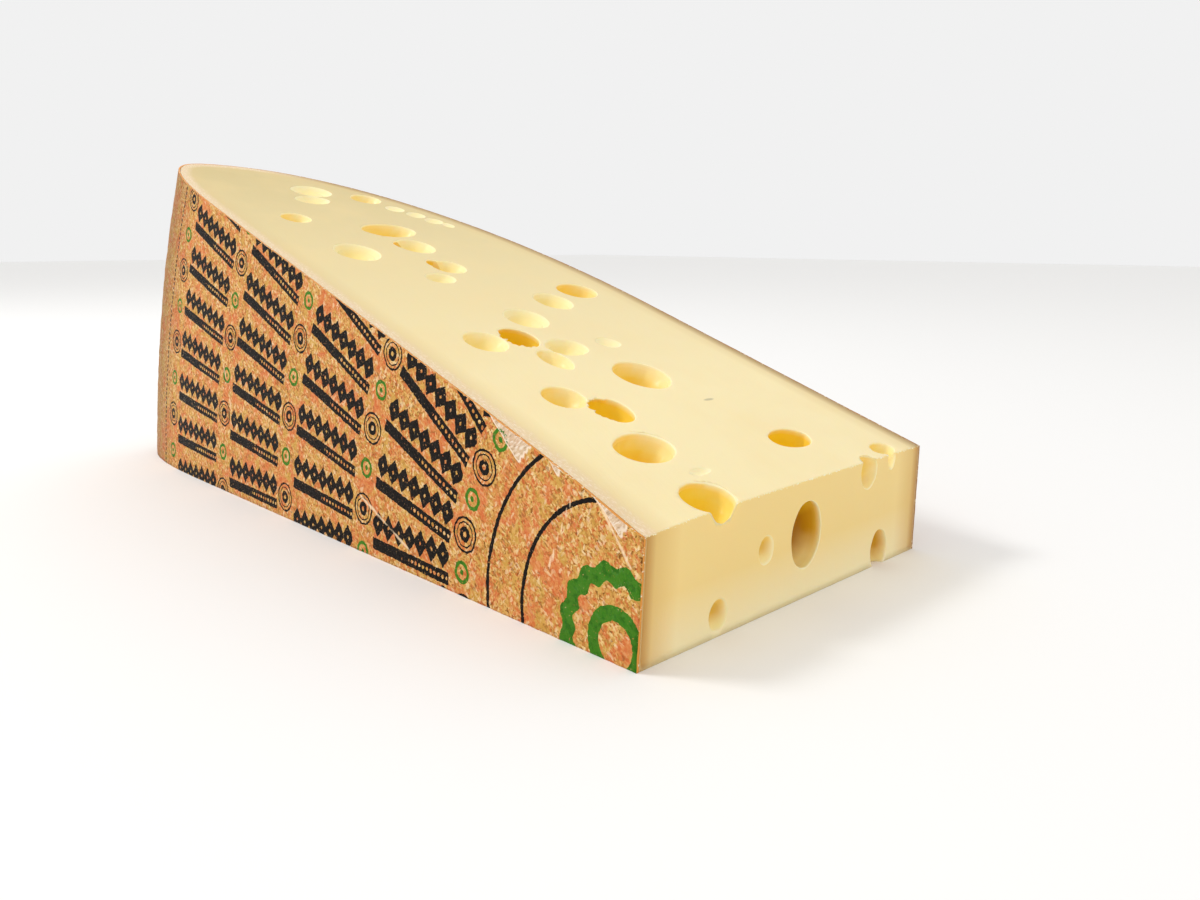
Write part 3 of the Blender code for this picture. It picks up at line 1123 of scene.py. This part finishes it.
# %% [markdown]
# The outline's circles follow from two sizes, the opening's half width and the depth. The bubble has
# to pass through both, and the lip's small circle touches the bubble's from outside and the cut from
# below. In a very shallow eye the lip shrinks with the depth.

# %% Outline of an eye


def eye_outline(opening, depth):
    """Distance from the eye's axis and height above the cut, from the eye's bottom to past its lip."""
    bubble = (opening ** 2 + depth ** 2) / (2 * depth)
    rise = bubble - depth
    lip = min(LIP_RADIUS, SHALLOW_LIP_SHARE * depth)
    lip_out = math.sqrt((bubble + lip) ** 2 - (rise + lip) ** 2)
    bowl_angle = math.atan2(lip_out, rise + lip)
    points = []
    for step in range(BOWL_STEPS + 1):
        angle = bowl_angle * step / BOWL_STEPS
        points.append((bubble * math.sin(angle), rise - bubble * math.cos(angle)))
    start = math.atan2(rise + lip, -lip_out) % (2 * math.pi)
    end = math.radians(90) + FLARE_ANGLE
    for step in range(1, LIP_STEPS + 1):
        angle = start + (end - start) * step / LIP_STEPS
        points.append((lip_out + lip * math.cos(angle), -lip + lip * math.sin(angle)))
    out, height = points[-1]
    out += FLARE_HEIGHT / math.tan(FLARE_ANGLE)
    top = height + 4 * FLARE_HEIGHT
    return points + [(out, height + FLARE_HEIGHT), (out, top), (0.0, top)]


print("points of an outline:", len(eye_outline(10 * MM, 6 * MM)))

# %% [markdown]
# Noise on the bearing round the eye makes it uneven, and its own number moves the noise along, so each
# eye gets another shape. Nicks are strongest at the height of the cut and on the side that tore.

# %% Cutter of an eye


def link_bmesh(name, bm):
    """Link a bmesh as a helper object, still in the wheel's own coordinates."""
    mesh = bpy.data.meshes.new(name)
    bm.to_mesh(mesh)
    bm.free()
    helper = bpy.data.objects.new(name, mesh)
    bpy.context.scene.collection.objects.link(helper)
    return helper


def eye_cutter(number, middle, across, along, half_sizes, depth, ragged, torn_side):
    """Spin one eye's outline, make it uneven and set it in its cut face."""
    opening = (half_sizes[0] + half_sizes[1]) / 2
    bm = bmesh.new()
    ring = [bm.verts.new((out, 0.0, height)) for out, height in eye_outline(opening, depth)]
    edges = [bm.edges.new(pair) for pair in zip(ring, ring[1:])]
    bmesh.ops.spin(
        bm, geom=ring + edges, cent=(0, 0, 0), axis=(0, 0, 1), angle=math.radians(360),
        steps=EYE_TURN_STEPS, use_merge=True,
    )
    bmesh.ops.remove_doubles(bm, verts=bm.verts, dist=EYE_MERGE)
    bmesh.ops.recalc_face_normals(bm, faces=bm.faces)
    for vert in bm.verts:
        sideways = Vector((vert.co.x, vert.co.y, 0.0))
        if vert.co.z < -2 * LIP_RADIUS:
            dimple = noise.noise(vert.co / DIMPLE_SIZE + Vector((0.0, 3.1 * number, 0.0)))
            vert.co *= 1 - DIMPLE_DEPTH * abs(dimple)
        if sideways.length < EYE_MERGE:
            continue
        bearing = sideways.normalized()
        change = UNEVENNESS * noise.noise(bearing * UNEVEN_LOBES + Vector((0.0, 0.0, 5.3 * number)))
        nearness = math.exp(-abs(vert.co.z) / NICK_REACH)
        jag = bearing * NICK_LOBES + Vector((0.0, 0.0, 2.1 * number + vert.co.z / NICK_HEIGHT))
        nick = max(noise.noise(jag) + NICK_SHARE, 0.0)
        torn = max(bearing.dot(torn_side) + TORN_SIDE_SHARE, 0.0)
        change -= ragged * NICK_DEPTH * nick * nearness * torn
        vert.co.x *= 1 + change
        vert.co.y *= 1 + change
    outward = across.cross(along)
    turn = Matrix((across, along, outward)).transposed().to_4x4()
    squeeze = Matrix.Diagonal((half_sizes[0] / opening, half_sizes[1] / opening, 1.0, 1.0))
    bm.transform(Matrix.Translation(middle) @ turn @ squeeze)
    return link_bmesh("eye_cutter", bm)


print("nicks reach below the cut, mm, about:", round(NICK_REACH / MM, 1))

# %% [markdown]
# Every cutter needs its middle on the cut, its own direction along the cut, and the side that tore,
# which is the side of its nearest neighbour. The middle, half width and steepness are kept as well,
# since the paste's colours are measured from them.

# %% Cutters of all the eyes


def side_of_nearest(eye, eyes):
    """Direction to the nearest other eye, where the wall between the two is thin and tears."""
    ways = [Vector((other[0] - eye[0], other[1] - eye[1], 0.0)) for other in eyes if other is not eye]
    return min(ways, key=lambda way: way.length).normalized()


def all_eye_cutters():
    """A cutter for each eye, with the middle, half width and steepness of each."""
    cutters = []
    eye_places = []
    level = Vector((1.0, 0.0, 0.0))
    up_slope = Vector((0.0, math.cos(UPPER_CUT_SLOPE), math.sin(UPPER_CUT_SLOPE)))
    up_near = Vector((0.0, -math.sin(NEAR_CUT_LEAN), math.cos(NEAR_CUT_LEAN)))
    for eyes, along in ((UPPER_EYES, up_slope), (NEAR_EYES, up_near)):
        for eye in eyes:
            across_mm, along_mm, half_across, half_along, depth, ragged = eye
            if eyes is UPPER_EYES:
                height = upper_cut_height(across_mm * MM, along_mm * MM)
                middle = Vector((across_mm * MM, along_mm * MM, height))
            else:
                middle = Vector((across_mm * MM, near_cut_y(along_mm * MM), along_mm * MM))
            sizes = (half_across * MM, half_along * MM)
            torn_side = side_of_nearest(eye, eyes)
            half_width = (half_across + half_along) / 2
            eye_places.append((middle, half_width * MM, depth / half_width))
            cutters.append(
                eye_cutter(len(cutters), middle, level, along, sizes, depth * MM, ragged, torn_side)
            )
    return cutters, eye_places


steepest = max(eye[4] / (eye[2] + eye[3]) * 2 for eye in UPPER_EYES + NEAR_EYES)
print("steepest eye, depth over half width:", round(steepest, 2))

# %% [markdown]
# The colour of paste depends on how deep in an eye a point lies, on how far it is from the skin and
# on how near it is to a sharp edge. It also depends on which cut the eye opens in and on how steep
# the eye is, its depth over its half width. All five are measured on each point of the finished mesh.

# %% Measures of the paste
ON_THE_BASE = 0.05 * MM
# How much nearer the near cut than the upper one a point lies, in mm, where an eye starts to count as
# the near cut's and where it fully does
NEAR_EYE_FROM = 4.0
NEAR_EYE_TO = 12.0
FINDER_SHOULDER_STEPS = (260, 520)
FINDER_PRINTED_STEPS = 400
FINDER_PLAIN_STEPS = 220


def skin_finder():
    """A search tree of closely spaced points on the wheel's section."""
    points = half_section(0.0, *FINDER_SHOULDER_STEPS)
    for step in range(FINDER_PRINTED_STEPS):
        points.append((0.0, PRINTED_FLAT_RADIUS * step / FINDER_PRINTED_STEPS))
    for step in range(FINDER_PLAIN_STEPS):
        points.append((WHEEL_THICKNESS, PLAIN_FLAT_RADIUS * step / FINDER_PLAIN_STEPS))
    tree = KDTree(len(points))
    for number, (x, radius) in enumerate(points):
        tree.insert((x, radius, 0.0), number)
    tree.balance()
    return tree


def measure_paste(bm, eye_places):
    """Keep on each point its depth in an eye and its distances in mm, and what kind of eye it is in."""
    eye_depth = bm.verts.layers.float.new("eye_depth")
    skin_depth = bm.verts.layers.float.new("skin_depth")
    edge_depth = bm.verts.layers.float.new("edge_depth")
    near_eye = bm.verts.layers.float.new("near_eye")
    steepness = bm.verts.layers.float.new("steepness")
    section = skin_finder()
    for vert in bm.verts:
        x, y, z = vert.co
        below_upper = (knifed_height(x, y) - z) * math.cos(UPPER_CUT_SLOPE)
        behind_near = (y - near_cut_y(z)) * math.cos(NEAR_CUT_LEAN)
        depth = min(below_upper, behind_near)
        vert[eye_depth] = max(depth, 0.0) / MM if z > ON_THE_BASE else 0.0
        vert[edge_depth] = max(below_upper, behind_near) / MM
        nearer = (below_upper - behind_near) / MM
        near_share = (nearer - NEAR_EYE_FROM) / (NEAR_EYE_TO - NEAR_EYE_FROM)
        vert[near_eye] = min(max(near_share, 0.0), 1.0)
        if vert[eye_depth] > 0:
            vert[steepness] = min(
                eye_places, key=lambda place: (vert.co - place[0]).length - place[1]
            )[2]
        radius = math.hypot(y, z - AXIS_ABOVE_BASE)
        vert[skin_depth] = section.find((x, radius, 0.0))[2] / MM


print("an eye is the near cut's from, mm:", NEAR_EYE_FROM, "to", NEAR_EYE_TO)

# %% [markdown]
# Booleans do the cutting: one keeps what the wheel and the block share, and one for each eye takes
# its bubble away. The MANIFOLD solver suits these closed meshes and is quick enough for all of them.

# %% Paste piece


def combine(target, cutter, operation):
    """Add one Boolean to the target."""
    cut = target.modifiers.new(operation.lower(), "BOOLEAN")
    cut.operation = operation
    cut.solver = "MANIFOLD"
    cut.object = cutter


def make_paste(materials):
    """Cut the paste from its wheel, open the eyes and measure it."""
    paste = link_bmesh("paste_wheel", paste_wheel())
    block = link_bmesh("cut_block", cut_block())
    cutters, eye_places = all_eye_cutters()
    combine(paste, block, "INTERSECT")
    for cutter in cutters:
        combine(paste, cutter, "DIFFERENCE")
    bm = evaluated_bmesh(paste)
    for helper in (block, *cutters):
        bpy.data.objects.remove(helper, do_unlink=True)
    bmesh.ops.remove_doubles(bm, verts=bm.verts, dist=EYE_MERGE)
    measure_paste(bm, eye_places)
    for face in bm.faces:
        face.smooth = True
    return to_object("paste", bm, materials)


print("points closer than this are merged, mm:", round(EYE_MERGE / MM, 2))

# %% [markdown]
# Paste: firm, fatty and slightly translucent, so light soaks in and comes out warm. That is why an
# eye glows golden and its thin lip looks pale. Subsurface scattering gives some of it, and the rest is
# painted light and shade, laid from what was measured on the mesh: gold down in an eye as painted
# shade and bounced light, strongest in a steep one, a painted glow at its lip, painted light on walls
# that face up or to the light side, and browner painted shade in an eye of the shaded near cut. The
# paste's own colours are tan beside the rind, where it has dried, and cream everywhere else. The
# walls are a little glossier than the cuts, since no knife has dulled them.

# %% Ground, sums and masks of the paste
PASTE_GROUND = "#F7E5B2"
# Cloud sizes in mm, and the size of streaks in dried paste and of the knife's drag lines
PASTE_CLOUDS = {"soft": 55.0, "wavy": 7.0, "crumbs": 0.9, "fine": 1.4}
STREAK_IN_PASTE = (0.7, 2.2, 0.7)
DRAG_LINES = (3.0, 60.0, 60.0)
DRAG_TURN = math.radians(-12)
# Painted light on eye walls that face along x, y or z: towards the printed side, the rim and up
LIGHT_SIDE = (-0.45, 0.55, 0.65)
# A small dent in the upper cut, painted as shade only: its middle and its half sizes, mm
DENT_PLACE = (116.0, 52.0)
DENT_HALF = (4.0, 1.1)
CUT_ROUGHNESS = 0.45
EYE_ROUGHNESS = 0.27
PASTE_BUMP = 0.15 * MM

# Two distances get an uneven edge here, from the skin by waves and from a sharp edge by crumbs,
# which also carry a painted highlight
PASTE_SUMS = (
    ("wavy_skin", "MULTIPLY", "wavy", -3.0),
    ("wavy_skin", "ADD", "wavy_skin", "skin_depth"),
    ("crumbs_and_highlight", "MULTIPLY", "crumbs", -3.2),
    ("crumbs_and_highlight", "ADD", "crumbs_and_highlight", "edge_depth"),
    ("dent_x", "SUBTRACT", "x", DENT_PLACE[0]),
    ("dent_x", "DIVIDE", "dent_x", DENT_HALF[0]),
    ("dent_x", "MULTIPLY", "dent_x", "dent_x"),
    ("dent_y", "SUBTRACT", "y", DENT_PLACE[1]),
    ("dent_y", "DIVIDE", "dent_y", DENT_HALF[1]),
    ("dent_y", "MULTIPLY", "dent_y", "dent_y"),
    ("dent_shade", "ADD", "dent_x", "dent_y"),
    ("from_y", "MULTIPLY", "face_y", LIGHT_SIDE[1]),
    ("from_x", "MULTIPLY", "face_x", LIGHT_SIDE[0]),
    ("from_z", "MULTIPLY", "face_z", LIGHT_SIDE[2]),
    ("lit", "ADD", "from_y", "from_x"),
    ("lit", "ADD", "lit", "from_z"),
    ("bump_height", "MULTIPLY", "drag", 2.0),
    ("bump_height", "ADD", "bump_height", "fine"),
)
# Masks: a value, where its share is 0 and where it is 1
PASTE_SHARES = {
    "near_cut": ("face_y", -0.6, -0.9),
    "upper_cut": ("face_z", 0.4, 0.8),
    "printed_half": ("x", 110.0, 70.0),
    "plain_half": ("x", 70.0, 110.0),
    "band": ("wavy_skin", 6.8, 4.2),
    "off_edge": ("edge_depth", 0.6, 1.6),
    "in_eye": ("eye_depth", 0.3, 1.2),
    "shallow": ("eye_depth", 11.0, 5.0),
    "gold_wall": ("eye_depth", 0.8, 3.0),
}
print("sums:", len(PASTE_SUMS), "masks:", len(PASTE_SHARES))

# %% [markdown]
# The stains go from the cut faces inwards: first each face and its dried border, with painted shade
# towards the upper cut's far end and painted light at the foot of the near cut, then crumbs with a
# painted highlight and the painted shade of a dent, and then the painted light and shade of the eyes,
# from their lips to their bottoms.

# %% Stains of the paste
# Value, where the stain has none of it and all of it, colour, strength, masks
PASTE_STAINS = (
    # Painted shade: the upper cut is painted darker and yellower towards its far end
    ("y", 60.0, 420.0, "#D0BB82", 1.0, "upper_cut"),
    ("soft", 0.42, 0.70, "#F0D69A", 0.30),
    ("near_cut", 0.0, 1.0, "#F6D890", 1.0),
    # Painted light: the near cut is painted paler towards its foot, against the floor's shade there
    ("z", 16.0, -6.0, "#FFEFC4", 0.9, "near_cut"),
    ("skin_depth", 20.0, 4.0, "#DDB66C", 0.85, "near_cut"),
    ("skin_depth", 7.0, 1.0, "#AE7028", 0.80, "near_cut"),
    ("skin_depth", 17.0, 4.0, "#DCC086", 0.60, "upper_cut"),
    ("wavy_skin", 7.5, 2.5, "#E6CBA4", 0.85, "upper_cut", "printed_half"),
    ("streak", 0.50, 0.66, "#FBEAD6", 0.65, "upper_cut", "printed_half", "band"),
    ("skin_depth", 9.0, 1.5, "#A5804A", 0.85, "upper_cut", "plain_half"),
    # Pale crumbs along the sharp edges, painted bright as a highlight as well
    ("crumbs_and_highlight", -1.40, -1.70, "#FFFAE0", 0.9),
    # Painted shade of a small dent, which has no shape of its own
    ("dent_shade", 1.0, 0.3, "#A89C7C", 0.6, "upper_cut"),
    # The eyes are painted light and shade: a painted glow at the lip, gold deeper down and in steep eyes as
    # painted shade and bounced light, painted light and shade on walls by the way they face, and browner
    # painted shade with paler floors in the eyes of the near cut
    ("eye_depth", 0.01, 0.07, "#FFF0C2", 0.90, "off_edge"),
    ("eye_depth", 0.3, 1.5, "#FFEAAE", 1.0),
    ("eye_depth", 1.5, 7.0, "#FDD452", 1.0),
    ("eye_depth", 6.0, 10.0, "#F8C01A", 1.0),
    ("eye_depth", 10.0, 15.0, "#DEA200", 1.0),
    ("lit", 0.0, 0.6, "#FFEFB4", 0.70, "in_eye", "shallow"),
    ("lit", -0.1, -0.6, "#FFD03C", 0.60, "in_eye"),
    ("steepness", 0.90, 1.20, "#FFDA14", 0.78, "gold_wall"),
    ("eye_depth", 0.5, 4.5, "#D39A14", 0.90, "near_eye"),
    ("eye_depth", 5.0, 12.0, "#A46600", 0.90, "near_eye"),
    ("face_z", 0.0, 0.7, "#FFE9A0", 0.90, "near_eye", "in_eye", "shallow"),
)
print("stains:", len(PASTE_STAINS))

# %% [markdown]
# The material reads a point's place, its facing and its measures, runs the sums and lays the stains,
# painted light and shade among them.
# The knife's drag lines are so fine that they only show as a faint bump.

# %% Paste material


def paste_material():
    """Firm cheese paste: cream faces, eyes golden from painted light and shade, tan beside the rind."""
    material, tree, shader = new_material("firm cheese paste")
    place = to_wheel(tree)
    known = read_place(tree, place)
    facing = add(tree, "ShaderNodeTexCoord").outputs["Normal"]
    facing = add(tree, "ShaderNodeSeparateXYZ", {"Vector": facing}).outputs
    known.update(face_x=facing["X"], face_y=facing["Y"], face_z=facing["Z"])
    add_clouds(tree, known, place, PASTE_CLOUDS)
    add_measures(tree, known, ("skin_depth", "eye_depth", "edge_depth", "near_eye", "steepness"))
    for name, scale, turn in (("streak", STREAK_IN_PASTE, 0.0), ("drag", DRAG_LINES, DRAG_TURN)):
        stretched = add(
            tree, "ShaderNodeMapping", {"Vector": place},
            {"Rotation": (0.0, 0.0, turn), "Scale": scale}, vector_type="TEXTURE",
        ).outputs["Vector"]
        add_clouds(tree, known, stretched, {name: 1.0})
    run_sums(tree, known, PASTE_SUMS)
    add_shares(tree, known, PASTE_SHARES)
    ground = add(tree, "ShaderNodeRGB")
    ground.outputs[0].default_value = srgb(PASTE_GROUND)
    colour = lay_stains(tree, known, ground.outputs[0], PASTE_STAINS)
    tree.links.new(colour, shader.inputs["Base Color"])
    gloss = add(
        tree, "ShaderNodeMapRange", {"Value": known["eye_depth"]},
        {"From Min": 0.5, "From Max": 2.5, "To Min": CUT_ROUGHNESS, "To Max": EYE_ROUGHNESS},
    ).outputs["Result"]
    tree.links.new(gloss, shader.inputs["Roughness"])
    shader.inputs["IOR"].default_value = 1.42
    shader.inputs["Specular IOR Level"].default_value = 0.2
    shader.inputs["Subsurface Weight"].default_value = 0.3
    shader.inputs["Subsurface Radius"].default_value = (1.0, 0.72, 0.35)
    shader.inputs["Subsurface Scale"].default_value = 3 * MM
    bump = add(
        tree, "ShaderNodeBump", {"Height": known["bump_height"]}, {"Strength": 0.3, "Distance": PASTE_BUMP}
    ).outputs["Normal"]
    tree.links.new(bump, shader.inputs["Normal"])
    return material


paste = make_paste([paste_material()])
print("paste triangles:", sum(len(face.vertices) - 2 for face in paste.data.polygons))

# %% [markdown]
# Both pieces ride on the part's one body and stand for its one solid.

# %% Ride
for piece in (rind, paste):
    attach(piece, "root")
    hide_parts("cheese_wedge")

# %% [markdown]
# The wedge is shown on white, lit softly from above and from behind the printed side. A pale floor,
# a white sky and one soft lamp give that modelling, with the near cut a little darker than the top.

# %% Floor and light
SKY_STRENGTH = 0.88
LAMP_PLACE = Vector((-1.0, 1.0, 1.6))
LAMP_AIM = Vector((0.0, 0.0, 0.08))
LAMP_WIDTH = 0.5
LAMP_POWER = 16.0
FLOOR_HALF = 6.0

floor_bm = bmesh.new()
bmesh.ops.create_grid(floor_bm, x_segments=1, y_segments=1, size=FLOOR_HALF)
floor = link_bmesh("floor", floor_bm)
floor_material, _, floor_shader = new_material("matt white board")
floor_shader.inputs["Base Color"].default_value = srgb("#F7F6F4")
floor_shader.inputs["Roughness"].default_value = 0.8
floor.data.materials.append(floor_material)

world = bpy.data.worlds.new("soft_white")
world.use_nodes = True
sky = world.node_tree.nodes["Background"]
sky.inputs["Color"].default_value = srgb("#FFFFFF")
sky.inputs["Strength"].default_value = SKY_STRENGTH
bpy.context.scene.world = world

lamp_data = bpy.data.lights.new("soft_box", "AREA")
lamp_data.size = LAMP_WIDTH
lamp_data.energy = LAMP_POWER
lamp = bpy.data.objects.new("soft_box", lamp_data)
lamp.location = LAMP_PLACE
lamp.rotation_euler = (LAMP_AIM - LAMP_PLACE).to_track_quat("-Z", "Y").to_euler()
bpy.context.scene.collection.objects.link(lamp)
print("lamp from the wedge, m:", round(LAMP_PLACE.length, 2))
